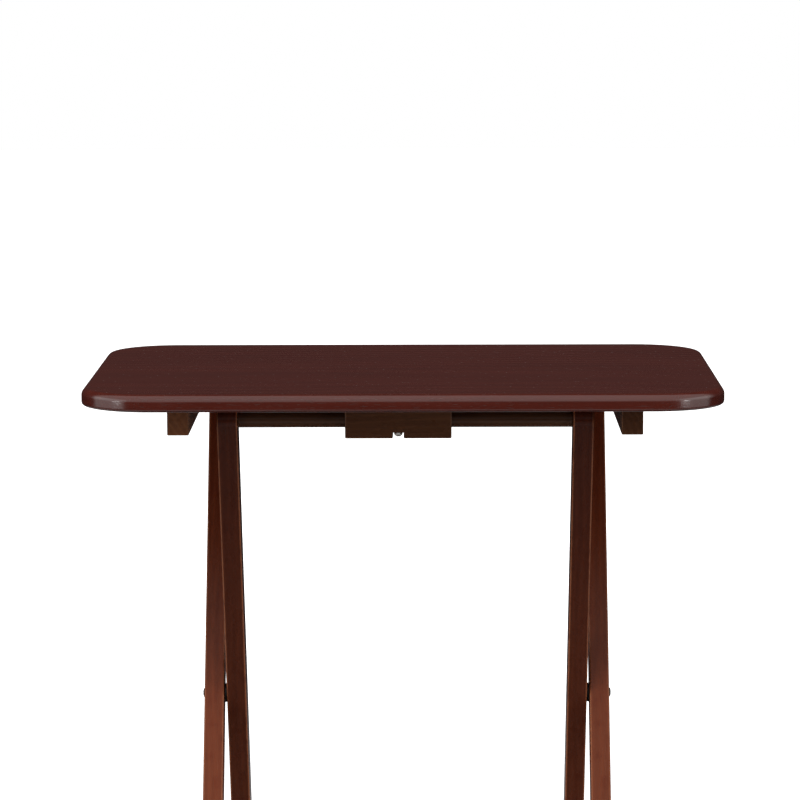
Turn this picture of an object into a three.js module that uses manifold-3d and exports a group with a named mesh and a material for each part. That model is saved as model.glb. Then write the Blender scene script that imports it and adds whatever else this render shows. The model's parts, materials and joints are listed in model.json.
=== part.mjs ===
// Folding tray table: a wooden tray on two crossed leg frames that close like scissors.
// Millimetres, +Z up, origin on the floor under the middle of the tray, -Y is the front.
import * as THREE from 'three';
import { mergeVertices } from 'three/addons/utils/BufferGeometryUtils.js';
import Module from 'manifold-3d';

const wasm = await Module();
wasm.setup();

// ---- tray ----
const trayWidth = 580;
const trayDepth = 400;
const trayHeight = 655; // floor to the upper face
const trayThickness = 15.5;
const trayCornerRadius = 65; // seen from above
const trayRoundOver = 6.5; // upper edge
const trayLowerBreak = 3; // lower edge

// ---- battens under the tray ----
const battenOutside = 213.5; // frame's middle line to the outer face
const battenWidth = 19.5;
const battenDrop = 25.7;
const battenEndInset = 38; // from the tray's front and back edges
const battenEdgeBreak = 0.8;

// ---- leg frames ----
const legWidth = 28; // seen from the side
const legThickness = 18.6; // left to right
const legEdgeBreak = 1.6;
const legTopClearance = 1; // rounded leg end to the tray
const hingeFromBack = 72; // top hinge line to the tray's back edge
const scissorHeight = 345; // scissor bolts above the floor
const scissorY = 0; // scissor line, front to back
const sideGap = 2.6; // batten to outer leg, outer leg to inner leg
const frameShift = 2.2; // battens and legs sit this far right of the tray's middle

// ---- cross members ----
const barRadius = 8;
const tenonRadius = 5.5;
const tenonLength = 12;
const stretcherHeight = 34; // along the legs
const stretcherThickness = 12;
const stretcherFromFloor = 110; // its middle above the floor
const stretcherEdgeRadius = 2;

// ---- latch block ----
const latchWidth = 96;
const latchShift = -4; // block's middle from the tray's middle
const latchFrontWall = 13; // ahead of the bar's groove
const latchLipReach = 6; // behind the bar's middle line
const latchLipDepth = 6.8; // wood below the groove
const latchEdgeBreak = 1.2;
const barSlack = 0.6; // bar in its groove
const notchWidth = 9.6;
const notchDepth = 5.4;

// ---- pivots ----
const boltRadius = 3;
const domeHeadRadius = 4.4;
const domeHeadHeight = 1.8;
const flushHeadRadius = 5.6;
const flushHeadHeight = 3;
const washerRadius = 9;
const insertRadius = 5.2;
const insertLength = 14;
const boltEndShort = 2; // bolt's tip to the insert's far end

// ---- wood screws and pins ----
const screwRadius = 2.1;
const screwHeadRadius = 4.1;
const screwHeadHeight = 2.6;
const screwHeadRim = 0.4;
const screwTip = 4;
const battenScrewLength = 29;
const battenCounterbore = 6; // depth of the hole that takes the head
const battenScrewInset = 30; // from the batten's front end
const hingeScrewGap = 34; // rear screw ahead of the hinge line
const latchScrewLength = 33;
const latchHeadRadius = 4;
const latchHeadHeight = 4.4;
const stretcherScrewLength = 46;
const stretcherScrewRise = 8; // above the stretcher's middle
const pinRadius = 4;
const pinLength = 26;
const pinInLeg = 10;
const pinDrop = 9; // below the stretcher's middle
const pinChamfer = 0.8;
const recessWidth = 4.4; // driver cross
const recessArm = 1.2;
const recessDepth = 1.4;

// ---- clearances and facets ----
const seatGap = 0.3; // between faces that meet
const holeGap = 0.3; // radial, round piece to its hole
const holeSlack = 1; // blind hole beyond the tip
const cutPast = 1; // cutting tools run past a face
const boltSides = 20;
const screwSides = 16;
const barSides = 24;
const arcSteps = 6; // arcs of the outlines
const roundOverSteps = 4;
const easedEdgeSteps = 2;
const domeSteps = 4;

// ---- places that follow from the sizes ----
const underside = trayHeight - trayThickness;
const hingeZ = underside - legWidth / 2 - legTopClearance;
const hingeY = trayDepth / 2 - hingeFromBack;
const reachUp = Math.hypot(hingeY - scissorY, hingeZ - scissorHeight); // scissor bolt to top hinge
const lean = Math.atan2(hingeY - scissorY, hingeZ - scissorHeight); // from upright
const barY = 2 * scissorY - hingeY; // mirrors the hinge line, so the bar slides level as the legs close
const battenInside = battenOutside - battenWidth;
const battenLength = trayDepth - 2 * battenEndInset;
const battenX = battenOutside - battenWidth / 2;
const outerLegOut = battenInside - sideGap;
const outerLegIn = outerLegOut - legThickness;
const innerLegOut = outerLegIn - sideGap;
const innerLegIn = innerLegOut - legThickness;
const washerThickness = sideGap - 2 * seatGap;
const scissorBoltLength = legThickness + sideGap + insertLength - boltEndShort;
const hingeBoltLength = scissorBoltLength;
const stretcherReach = (scissorHeight - stretcherFromFloor) / Math.cos(lean); // scissor bolt to stretcher
const grooveRadius = barRadius + barSlack;
const latchBottom = hingeZ - grooveRadius - latchLipDepth;
const latchFront = barY - grooveRadius - latchFrontWall;
const latchRear = barY + latchLipReach;
const latchScrewY = latchFront + latchFrontWall / 2;
const latchScrewZ = latchBottom + notchDepth;
const battenScrewFront = battenEndInset + battenScrewInset - trayDepth / 2;
const battenScrewRear = hingeY - hingeScrewGap;
const battenScrewYs = [battenScrewFront, (battenScrewFront + battenScrewRear) / 2, battenScrewRear];
const battenScrewNames = ['front', 'middle', 'rear'];
const battenScrewZ = underside - battenDrop + battenCounterbore;
const sides = [['left', -1], ['right', 1]];

// ---- finishes ----
const trayWood = new THREE.MeshStandardMaterial({ color: 0x472727, roughness: 0.35, metalness: 0 });
const frameWood = new THREE.MeshStandardMaterial({ color: 0x45231b, roughness: 0.42, metalness: 0 });
const pinWood = new THREE.MeshStandardMaterial({ color: 0xb58a5a, roughness: 0.7, metalness: 0 });
const steel = new THREE.MeshStandardMaterial({ color: 0xa8a8a6, roughness: 0.35, metalness: 1 });
const darkSteel = new THREE.MeshStandardMaterial({ color: 0x3a3632, roughness: 0.4, metalness: 1 });
const nylon = new THREE.MeshStandardMaterial({ color: 0x1c1918, roughness: 0.5, metalness: 0 });

// ---- solids ----
function solidOf(geometry) {
  const bare = geometry.clone();
  bare.deleteAttribute('normal');
  bare.deleteAttribute('uv');
  const merged = mergeVertices(bare, 1e-4);
  const corners = merged.index.array;
  const triangles = [];
  for (let i = 0; i < corners.length; i += 3) {
    const [a, b, c] = [corners[i], corners[i + 1], corners[i + 2]];
    if (a !== b && b !== c && c !== a) triangles.push(a, b, c);
  }
  return new wasm.Manifold(new wasm.Mesh({
    numProp: 3,
    vertProperties: Float32Array.from(merged.attributes.position.array),
    triVerts: Uint32Array.from(triangles),
  }));
}

function geometryOf(solid) {
  const mesh = solid.getMesh();
  const geometry = new THREE.BufferGeometry();
  geometry.setAttribute('position', new THREE.BufferAttribute(Float32Array.from(mesh.vertProperties), 3));
  geometry.setIndex(new THREE.BufferAttribute(Uint32Array.from(mesh.triVerts), 1));
  geometry.computeVertexNormals();
  return geometry;
}

function cut(geometry, tools) {
  let solid = solidOf(geometry);
  for (const tool of tools) {
    solid = solid.subtract(solidOf(tool));
  }
  return geometryOf(solid);
}

// A round piece from [radius, height] pairs, standing on +Y.
function turned(profile, segments) {
  const points = profile.map(([radius, height]) => new THREE.Vector2(radius, height));
  return new THREE.LatheGeometry(points, segments);
}

function rod(radius, from, to, segments) {
  return turned([[0, from], [radius, from], [radius, to], [0, to]], segments);
}

function ring(outer, inner, height) {
  return turned([[inner, 0], [outer, 0], [outer, height], [inner, height], [inner, 0]], boltSides);
}

// Lays a +Y piece down so that it points to the left (-1) or to the right (+1).
function sideways(geometry, direction) {
  return geometry.rotateZ(-direction * Math.PI / 2);
}

// Turns a +Y piece to point up.
function upward(geometry) {
  return geometry.rotateX(Math.PI / 2);
}

// Takes a profile drawn front to back and upwards, with its thickness centred left to right.
function standUp(geometry, thickness) {
  const frontToBack = new THREE.Vector3(0, 1, 0);
  const upwards = new THREE.Vector3(0, 0, 1);
  const leftToRight = new THREE.Vector3(1, 0, 0);
  geometry.translate(0, 0, -thickness / 2);
  return geometry.applyMatrix4(new THREE.Matrix4().makeBasis(frontToBack, upwards, leftToRight));
}

// An extrusion whose edges are all eased by the same small radius, standing on z = 0.
function easedExtrusion(shape, thickness, edge, edgeSteps = easedEdgeSteps) {
  const geometry = new THREE.ExtrudeGeometry(shape, {
    depth: thickness - 2 * edge,
    bevelEnabled: true,
    bevelThickness: edge,
    bevelSize: edge,
    bevelOffset: -edge,
    bevelSegments: edgeSteps,
    curveSegments: arcSteps,
  });
  return geometry.translate(0, 0, edge);
}

function roundedRectangle(left, bottom, width, height, radius) {
  const right = left + width;
  const top = bottom + height;
  const quarter = Math.PI / 2;
  const shape = new THREE.Shape();
  shape.moveTo(right, bottom + radius);
  shape.absarc(right - radius, top - radius, radius, 0, quarter, false);
  shape.absarc(left + radius, top - radius, radius, quarter, 2 * quarter, false);
  shape.absarc(left + radius, bottom + radius, radius, 2 * quarter, 3 * quarter, false);
  shape.absarc(right - radius, bottom + radius, radius, 3 * quarter, 4 * quarter, false);
  return shape;
}

function rectangle(left, bottom, width, height) {
  const shape = new THREE.Shape();
  shape.moveTo(left, bottom);
  shape.lineTo(left + width, bottom);
  shape.lineTo(left + width, bottom + height);
  shape.lineTo(left, bottom + height);
  return shape;
}

function piece(group, name, geometry, material, x = 0, y = 0, z = 0) {
  const mesh = new THREE.Mesh(geometry, material);
  mesh.name = name;
  mesh.position.set(x, y, z);
  group.add(mesh);
}

// ---- fasteners, standing on +Y: the shank starts at 0 and runs up ----
function crossRecess(headFace) {
  const height = recessDepth + cutPast;
  const middle = headFace + recessDepth - height / 2;
  return [
    new THREE.BoxGeometry(recessWidth, height, recessArm).translate(0, middle, 0),
    new THREE.BoxGeometry(recessArm, height, recessWidth).translate(0, middle, 0),
  ];
}

// The flat head's face is at 0.
function flatScrew(length) {
  const blank = turned([
    [0, 0],
    [screwHeadRadius, 0],
    [screwHeadRadius, screwHeadRim],
    [screwRadius, screwHeadHeight],
    [screwRadius, length - screwTip],
    [0, length],
  ], screwSides);
  return cut(blank, crossRecess(0));
}

function flatScrewHole(length, counterbore) {
  const wide = screwHeadRadius + holeGap;
  const narrow = screwRadius + holeGap;
  return turned([
    [0, -counterbore - cutPast],
    [wide, -counterbore - cutPast],
    [wide, screwHeadRim],
    [narrow, screwHeadHeight],
    [narrow, length + holeSlack],
    [0, length + holeSlack],
  ], screwSides);
}

// A domed head below 0 on a shank of the given radius.
function domed(headRadius, headHeight, shank, segments) {
  const head = [[0, -headHeight]];
  for (let step = 1; step <= domeSteps; step += 1) {
    const angle = (step / domeSteps) * Math.PI / 2;
    head.push([headRadius * Math.sin(angle), -headHeight * Math.cos(angle)]);
  }
  return cut(turned([...head, ...shank], segments), crossRecess(-headHeight));
}

function latchScrew() {
  const shank = [[screwRadius, 0], [screwRadius, latchScrewLength - screwTip], [0, latchScrewLength]];
  return domed(latchHeadRadius, latchHeadHeight, shank, boltSides);
}

function scissorBolt() {
  const shank = [[boltRadius, 0], [boltRadius, scissorBoltLength], [0, scissorBoltLength]];
  return domed(domeHeadRadius, domeHeadHeight, shank, boltSides);
}

function hingeBolt() {
  const blank = turned([
    [0, 0],
    [flushHeadRadius, 0],
    [boltRadius, flushHeadHeight],
    [boltRadius, hingeBoltLength],
    [0, hingeBoltLength],
  ], boltSides);
  return cut(blank, crossRecess(0));
}

function hingeBoltHole() {
  const narrow = boltRadius + holeGap;
  return turned([
    [0, -cutPast],
    [flushHeadRadius + holeGap, -cutPast],
    [flushHeadRadius + holeGap, 0],
    [narrow, flushHeadHeight],
    [narrow, legThickness + cutPast],
    [0, legThickness + cutPast],
  ], boltSides);
}

function washer() {
  return ring(washerRadius, boltRadius + holeGap, washerThickness);
}

function insert() {
  return ring(insertRadius, boltRadius + holeGap, insertLength);
}

function insertHole() {
  return rod(insertRadius + holeGap, -cutPast, insertLength + holeSlack, boltSides);
}

function pin() {
  return turned([
    [0, 0],
    [pinRadius - pinChamfer, 0],
    [pinRadius, pinChamfer],
    [pinRadius, pinLength - pinChamfer],
    [pinRadius - pinChamfer, pinLength],
    [0, pinLength],
  ], screwSides);
}

function pinHole(depth) {
  return rod(pinRadius + holeGap, -cutPast, depth + holeSlack, screwSides);
}

// ---- tray ----
function traySlab(bottom, top, edge, edgeSteps) {
  const outline = roundedRectangle(-trayWidth / 2, -trayDepth / 2, trayWidth, trayDepth, trayCornerRadius);
  return easedExtrusion(outline, top - bottom, edge, edgeSteps).translate(0, 0, bottom);
}

function trayGeometry() {
  const roundedAbove = traySlab(underside - trayThickness, trayHeight, trayRoundOver, roundOverSteps);
  const easedBelow = traySlab(underside, trayHeight + trayThickness, trayLowerBreak, easedEdgeSteps);
  let tray = solidOf(roundedAbove).intersect(solidOf(easedBelow));
  const holes = [[latchShift, latchScrewY, latchScrewZ, latchScrewLength]];
  for (const [, sign] of sides) {
    for (const y of battenScrewYs) {
      holes.push([frameShift + sign * battenX, y, battenScrewZ, battenScrewLength]);
    }
  }
  for (const [x, y, z, length] of holes) {
    const hole = rod(screwRadius + holeGap, 0, length + holeSlack, screwSides);
    tray = tray.subtract(solidOf(upward(hole).translate(x, y, z)));
  }
  return geometryOf(tray);
}

// ---- battens ----
function battenGeometry(sign) {
  const profile = rectangle(-battenLength / 2, underside - battenDrop, battenLength, battenDrop - seatGap);
  const batten = standUp(easedExtrusion(profile, battenWidth, battenEdgeBreak), battenWidth);
  const tools = battenScrewYs.map((y) => {
    return upward(flatScrewHole(battenScrewLength, battenCounterbore)).translate(0, y, battenScrewZ);
  });
  tools.push(sideways(insertHole(), sign).translate(-sign * battenWidth / 2, hingeY, hingeZ));
  return cut(batten, tools);
}

// ---- latch block: the bar lies in a groove that is open to the rear ----
function latchGeometry() {
  const quarter = Math.PI / 2;
  const profile = new THREE.Shape();
  profile.moveTo(latchFront, latchBottom);
  profile.lineTo(latchRear, latchBottom);
  profile.lineTo(latchRear, hingeZ - grooveRadius);
  profile.absarc(barY, hingeZ, grooveRadius, -quarter, quarter, true);
  profile.lineTo(latchRear, hingeZ + grooveRadius);
  profile.lineTo(latchRear, underside - seatGap);
  profile.lineTo(latchFront, underside - seatGap);
  const block = standUp(easedExtrusion(profile, latchWidth, latchEdgeBreak), latchWidth);
  const notchLength = latchRear - latchFront + 2 * cutPast;
  const notchHeight = notchDepth + cutPast;
  const notch = new THREE.BoxGeometry(notchWidth, notchLength, notchHeight);
  notch.translate(0, (latchFront + latchRear) / 2, latchScrewZ - notchHeight / 2);
  const hole = rod(screwRadius + holeGap, -cutPast, latchScrewLength, screwSides);
  return cut(block, [notch, upward(hole).translate(0, latchScrewY, latchScrewZ)]);
}

// ---- legs ----
// Drawn upright about the scissor line, with the foot cut level for the frame's turn.
function legProfile(turn) {
  const half = legWidth / 2;
  const footZ = (y) => (-scissorHeight - y * Math.sin(turn)) / Math.cos(turn);
  const profile = new THREE.Shape();
  profile.moveTo(-half, footZ(-half));
  profile.lineTo(half, footZ(half));
  profile.absarc(0, reachUp, half, 0, Math.PI, false);
  return profile;
}

function legGeometry(turn, tools) {
  const leg = easedExtrusion(legProfile(turn), legThickness, legEdgeBreak);
  return cut(standUp(leg, legThickness), tools);
}

// Holes for a stretcher's screw, from outside, and for its pin, from inside.
function stretcherJointHoles(sign, stretcherY) {
  const outside = sign * legThickness / 2;
  const screwHole = sideways(flatScrewHole(legThickness, 0), -sign);
  const pinBlindHole = sideways(pinHole(pinInLeg), sign);
  return [
    screwHole.translate(outside, stretcherY, stretcherScrewRise - stretcherReach),
    pinBlindHole.translate(-outside, stretcherY, -pinDrop - stretcherReach),
  ];
}

function outerLeg(sign, turn, stretcherY) {
  const inside = -sign * legThickness / 2;
  const scissorHole = rod(boltRadius + holeGap, -cutPast, legThickness + cutPast, boltSides);
  return legGeometry(turn, [
    sideways(hingeBoltHole(), sign).translate(inside, 0, reachUp),
    sideways(scissorHole, sign).translate(inside, 0, 0),
    ...stretcherJointHoles(sign, stretcherY),
  ]);
}

function innerLeg(sign, turn, stretcherY) {
  const outside = sign * legThickness / 2;
  const tenonHole = rod(tenonRadius + holeGap, -cutPast, tenonLength + holeSlack, boltSides);
  return legGeometry(turn, [
    sideways(tenonHole, sign).translate(-outside, 0, reachUp),
    sideways(insertHole(), -sign).translate(outside, 0, 0),
    ...stretcherJointHoles(sign, stretcherY),
  ]);
}

// ---- cross members ----
function crossbar() {
  const half = innerLegIn - seatGap;
  const end = half + tenonLength;
  const bar = turned([
    [0, -end],
    [tenonRadius, -end],
    [tenonRadius, -half],
    [barRadius, -half],
    [barRadius, half],
    [tenonRadius, half],
    [tenonRadius, end],
    [0, end],
  ], barSides);
  return sideways(bar, 1);
}

function stretcherGeometry(legInside, stretcherY) {
  const length = 2 * (legInside - seatGap);
  const left = stretcherY - stretcherThickness / 2;
  const bottom = -stretcherReach - stretcherHeight / 2;
  const profile = roundedRectangle(left, bottom, stretcherThickness, stretcherHeight, stretcherEdgeRadius);
  const bar = { depth: length, bevelEnabled: false, curveSegments: easedEdgeSteps };
  const stretcher = new THREE.ExtrudeGeometry(profile, bar);
  const screwDepth = stretcherScrewLength - legThickness;
  const tools = sides.flatMap(([, sign]) => {
    const screwHole = rod(screwRadius + holeGap, -cutPast, screwDepth + holeSlack, screwSides);
    const end = sign * length / 2;
    return [
      sideways(screwHole, -sign).translate(end, stretcherY, stretcherScrewRise - stretcherReach),
      sideways(pinHole(pinLength - pinInLeg), -sign).translate(end, stretcherY, -pinDrop - stretcherReach),
    ];
  });
  return cut(standUp(stretcher, length), tools);
}

function addStretcher(frame, kind, legOutside, legInside, stretcherY) {
  piece(frame, `${kind}_stretcher`, stretcherGeometry(legInside, stretcherY), frameWood);
  for (const [side, sign] of sides) {
    const screw = sideways(flatScrew(stretcherScrewLength), -sign);
    const screwZ = stretcherScrewRise - stretcherReach;
    piece(frame, `${kind}_stretcher_screw_${side}`, screw, steel, sign * legOutside, stretcherY, screwZ);
    const woodPin = sideways(pin(), -sign);
    const pinX = sign * (legInside + pinInLeg);
    const pinZ = -pinDrop - stretcherReach;
    piece(frame, `${kind}_stretcher_pin_${side}`, woodPin, pinWood, pinX, stretcherY, pinZ);
  }
}

// ---- assembly ----
const table = new THREE.Group();
piece(table, 'tray', trayGeometry(), trayWood);
piece(table, 'latch_block', latchGeometry(), frameWood, latchShift);
piece(table, 'latch_screw', upward(latchScrew()), steel, latchShift, latchScrewY, latchScrewZ - seatGap);

const rails = new THREE.Group();
rails.position.x = frameShift;
table.add(rails);
for (const [side, sign] of sides) {
  piece(rails, `batten_${side}`, battenGeometry(sign), frameWood, sign * battenX);
  battenScrewYs.forEach((y, i) => {
    const name = `batten_screw_${side}_${battenScrewNames[i]}`;
    const screw = upward(flatScrew(battenScrewLength));
    piece(rails, name, screw, steel, sign * battenX, y, battenScrewZ - seatGap);
  });
  const boltX = sign * outerLegIn;
  const washerX = sign * (outerLegOut + seatGap);
  piece(rails, `hinge_bolt_${side}`, sideways(hingeBolt(), sign), darkSteel, boltX, hingeY, hingeZ);
  piece(rails, `hinge_washer_${side}`, sideways(washer(), sign), nylon, washerX, hingeY, hingeZ);
  piece(rails, `hinge_insert_${side}`, sideways(insert(), sign), steel, sign * battenInside, hingeY, hingeZ);
}

// Each frame is drawn upright and turned about the scissor line.
function leaningFrame(turn) {
  const frame = new THREE.Group();
  frame.position.set(frameShift, scissorY, scissorHeight);
  frame.rotation.x = turn;
  table.add(frame);
  return frame;
}

const outerFrame = leaningFrame(-lean);
const innerFrame = leaningFrame(lean);
const outerStretcherY = (stretcherThickness - legWidth) / 2; // flush with the front of the outer legs
const innerStretcherY = -outerStretcherY; // flush with the back of the inner legs
for (const [side, sign] of sides) {
  const outerX = sign * (outerLegOut + outerLegIn) / 2;
  const innerX = sign * (innerLegOut + innerLegIn) / 2;
  const boltX = sign * (outerLegOut + seatGap);
  const washerX = sign * (innerLegOut + seatGap);
  piece(outerFrame, `outer_leg_${side}`, outerLeg(sign, -lean, outerStretcherY), frameWood, outerX);
  piece(outerFrame, `scissor_bolt_${side}`, sideways(scissorBolt(), -sign), darkSteel, boltX);
  piece(outerFrame, `scissor_washer_${side}`, sideways(washer(), sign), nylon, washerX);
  piece(innerFrame, `inner_leg_${side}`, innerLeg(sign, lean, innerStretcherY), frameWood, innerX);
  piece(innerFrame, `scissor_insert_${side}`, sideways(insert(), -sign), steel, sign * innerLegOut);
}
piece(innerFrame, 'crossbar', crossbar(), frameWood, 0, 0, reachUp);
addStretcher(outerFrame, 'outer', outerLegOut, outerLegIn, outerStretcherY);
addStretcher(innerFrame, 'inner', innerLegOut, innerLegIn, innerStretcherY);

export default table;
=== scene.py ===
import json
import math

import bmesh
import bpy
from mathutils import Matrix, Vector


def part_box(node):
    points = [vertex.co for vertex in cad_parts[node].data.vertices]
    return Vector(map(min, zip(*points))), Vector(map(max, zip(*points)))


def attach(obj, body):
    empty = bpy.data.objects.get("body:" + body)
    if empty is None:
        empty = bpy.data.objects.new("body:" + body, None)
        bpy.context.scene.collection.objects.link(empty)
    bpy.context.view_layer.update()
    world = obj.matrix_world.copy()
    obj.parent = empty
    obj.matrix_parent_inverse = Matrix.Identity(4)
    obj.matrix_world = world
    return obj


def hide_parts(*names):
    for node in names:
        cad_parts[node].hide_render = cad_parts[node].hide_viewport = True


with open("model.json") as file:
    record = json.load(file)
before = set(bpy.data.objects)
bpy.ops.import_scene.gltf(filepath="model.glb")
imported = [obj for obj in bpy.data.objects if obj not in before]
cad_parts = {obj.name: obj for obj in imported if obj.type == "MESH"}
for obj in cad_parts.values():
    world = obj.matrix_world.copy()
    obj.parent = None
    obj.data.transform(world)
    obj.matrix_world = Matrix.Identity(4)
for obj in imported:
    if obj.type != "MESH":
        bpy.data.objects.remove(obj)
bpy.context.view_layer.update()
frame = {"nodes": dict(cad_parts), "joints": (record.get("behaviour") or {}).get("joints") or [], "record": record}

scene = bpy.context.scene
mm = 0.001
sides = {"left": -1, "right": 1}

# places that the frame gives
joints = {joint["name"]: Vector(joint["pos_m"]) for joint in frame["joints"]}
hinge = joints["legs_fold"]
scissor = joints["scissor"]
reachUp = (hinge - scissor).length
lean = math.atan2(hinge.y - scissor.y, hinge.z - scissor.z)


def middle(node):
    low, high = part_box(node)
    return (low + high) / 2


def extent(node):
    low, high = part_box(node)
    return high - low


# camera

camera = {
    "lens": 165.75,
    "away": 3.4314,  # ahead of the table's middle
    "aside": 0.0233,
    "height": 1.0702,
    "turn": -0.448,
    "down": 7.397,
    "roll": -0.174,
}


def makeCamera(values):
    data = bpy.data.cameras.new("tableCamera")
    data.lens = values["lens"]
    data.sensor_width = 36
    data.clip_end = 60
    eye = bpy.data.objects.new("tableCamera", data)
    scene.collection.objects.link(eye)
    spot = Matrix.Translation((values["aside"], -values["away"], values["height"]))
    turn = Matrix.Rotation(math.radians(-values["turn"]), 4, "Z")
    tip = Matrix.Rotation(math.radians(90 - values["down"]), 4, "X")
    roll = Matrix.Rotation(math.radians(values["roll"]), 4, "Z")
    eye.matrix_world = spot @ turn @ tip @ roll
    scene.camera = eye


makeCamera(camera)
print("camera ready")


# shader helpers

def addNode(tree, kind, **settings):
    node = tree.nodes.new(kind)
    for name, value in settings.items():
        setattr(node, name, value)
    return node


def feed(tree, socket, value):
    if hasattr(value, "is_output"):
        tree.links.new(value, socket)
    elif isinstance(value, tuple) and len(value) == 3 and socket.type == "RGBA":
        socket.default_value = (*value, 1.0)
    else:
        socket.default_value = value


def maths(tree, operation, first, second=0.0, clamp=False):
    node = addNode(tree, "ShaderNodeMath", operation=operation, use_clamp=clamp)
    feed(tree, node.inputs[0], first)
    feed(tree, node.inputs[1], second)
    return node.outputs[0]


def vectorMaths(tree, operation, first, second=(0.0, 0.0, 0.0), output="Vector"):
    node = addNode(tree, "ShaderNodeVectorMath", operation=operation)
    feed(tree, node.inputs[0], first)
    feed(tree, node.inputs[1], second)
    return node.outputs[output]


def spread(tree, value, fromLow, fromHigh, toLow=0.0, toHigh=1.0):
    node = addNode(tree, "ShaderNodeMapRange")
    for socket, given in zip(node.inputs, (value, fromLow, fromHigh, toLow, toHigh)):
        feed(tree, socket, given)
    return node.outputs["Result"]


def noise(tree, vector, factors, detail=4.0, roughness=0.55):
    node = addNode(tree, "ShaderNodeTexNoise")
    feed(tree, node.inputs["Vector"], vectorMaths(tree, "MULTIPLY", vector, factors))
    feed(tree, node.inputs["Scale"], 1.0)
    feed(tree, node.inputs["Detail"], detail)
    feed(tree, node.inputs["Roughness"], roughness)
    return node.outputs["Fac"]


def mixColour(tree, amount, first, second):
    node = addNode(tree, "ShaderNodeMix", data_type="RGBA")
    for index, value in zip((0, 6, 7), (amount, first, second)):
        feed(tree, node.inputs[index], value)
    return node.outputs[2]


def newGroup(name, inputs, outputs):
    tree = bpy.data.node_groups.new(name, "ShaderNodeTree")
    for label, kind in inputs.items():
        tree.interface.new_socket(label, in_out="INPUT", socket_type="NodeSocket" + kind)
    for label in outputs:
        tree.interface.new_socket(label, in_out="OUTPUT", socket_type="NodeSocketFloat")
    return tree, tree.nodes.new("NodeGroupInput").outputs, tree.nodes.new("NodeGroupOutput").inputs


def useGroup(tree, group, **values):
    node = addNode(tree, "ShaderNodeGroup", node_tree=group)
    for label, value in values.items():
        feed(tree, node.inputs[label], value)
    return node.outputs


# shared effects; each piece's own X runs along its grain

def makeGrain():
    inputs = {"Place": "Vector", "Board": "Float", "Fineness": "Float", "RingGap": "Float"}
    tree, given, made = newGroup("woodGrain", inputs, ["Streaks", "Rings", "Pores", "Blotches"])
    shift = vectorMaths(tree, "SCALE", (3.7, 1.9, 2.3))
    feed(tree, shift.node.inputs["Scale"], given["Board"])
    place = vectorMaths(tree, "ADD", given["Place"], shift)
    fine = vectorMaths(tree, "SCALE", place)
    feed(tree, fine.node.inputs["Scale"], given["Fineness"])
    broad = noise(tree, fine, (5, 230, 230), detail=3)
    thin = noise(tree, fine, (16, 1150, 1150), detail=3)
    streaks = maths(tree, "ADD", maths(tree, "MULTIPLY", broad, 0.6), maths(tree, "MULTIPLY", thin, 0.4))
    feed(tree, made["Streaks"], spread(tree, streaks, 0.36, 0.64))
    # rings of a trunk whose heart lies well outside the board
    heart = vectorMaths(tree, "ADD", given["Place"], (0.0, 0.075, 0.11))
    flat = vectorMaths(tree, "MULTIPLY", heart, (0.012, 1.0, 1.0))
    radius = vectorMaths(tree, "LENGTH", flat, output="Value")
    wander = maths(tree, "MULTIPLY", noise(tree, place, (2.6, 11, 11), detail=2), 0.034)
    turns = maths(tree, "DIVIDE", maths(tree, "ADD", radius, wander), given["RingGap"])
    wave = maths(tree, "SINE", maths(tree, "MULTIPLY", turns, 2 * math.pi))
    rings = spread(tree, wave, -1, 1)
    feed(tree, made["Rings"], maths(tree, "POWER", rings, 1.7))
    dashes = spread(tree, noise(tree, fine, (85, 2100, 2100), detail=1), 0.6, 0.7)
    early = spread(tree, rings, 0.1, 0.8, 0.35, 1.0)  # pores crowd into the early wood
    feed(tree, made["Pores"], maths(tree, "MULTIPLY", dashes, early))
    feed(tree, made["Blotches"], spread(tree, noise(tree, place, (5, 17, 17), detail=2), 0.3, 0.7))
    return tree


def makeEdgeWearHighlight():
    # where hands and cloths have thinned an eased edge; on the wooden pieces the lighter edge is also a painted
    # highlight
    inputs = {"Place": "Vector", "Edge": "Float", "Reach": "Float"}
    tree, given, made = newGroup("edgeWearAndHighlight", inputs, ["Rubbed"])
    patches = noise(tree, given["Place"], (55, 160, 160), detail=4, roughness=0.65)
    spared = maths(tree, "SUBTRACT", 1.0, given["Reach"])
    wearHighlightPatches = spread(tree, patches, spared, maths(tree, "ADD", spared, 0.3))
    feed(tree, made["Rubbed"], maths(tree, "MULTIPLY", wearHighlightPatches, given["Edge"], clamp=True))
    return tree


def makeLacquer():
    # a thin satin film: it sinks into pores and dries a little uneven
    inputs = {"Place": "Vector", "Gloss": "Float", "Pores": "Float", "Streaks": "Float", "Rubbed": "Float"}
    tree, given, made = newGroup("lacquerFilm", inputs, ["Roughness", "Height"])
    haze = noise(tree, given["Place"], (26, 70, 70), detail=4)
    peel = noise(tree, given["Place"], (520, 520, 520), detail=2)
    dull = maths(tree, "ADD", given["Gloss"], maths(tree, "MULTIPLY", haze, 0.12))
    dull = maths(tree, "ADD", dull, maths(tree, "MULTIPLY", given["Pores"], 0.16))
    polished = maths(tree, "MULTIPLY", given["Rubbed"], 0.08)
    feed(tree, made["Roughness"], maths(tree, "SUBTRACT", dull, polished))
    relief = maths(tree, "MULTIPLY", given["Streaks"], 0.25)
    relief = maths(tree, "SUBTRACT", relief, maths(tree, "MULTIPLY", given["Pores"], 0.75))
    feed(tree, made["Height"], maths(tree, "ADD", relief, maths(tree, "MULTIPLY", peel, 0.35)))
    return tree


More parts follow.
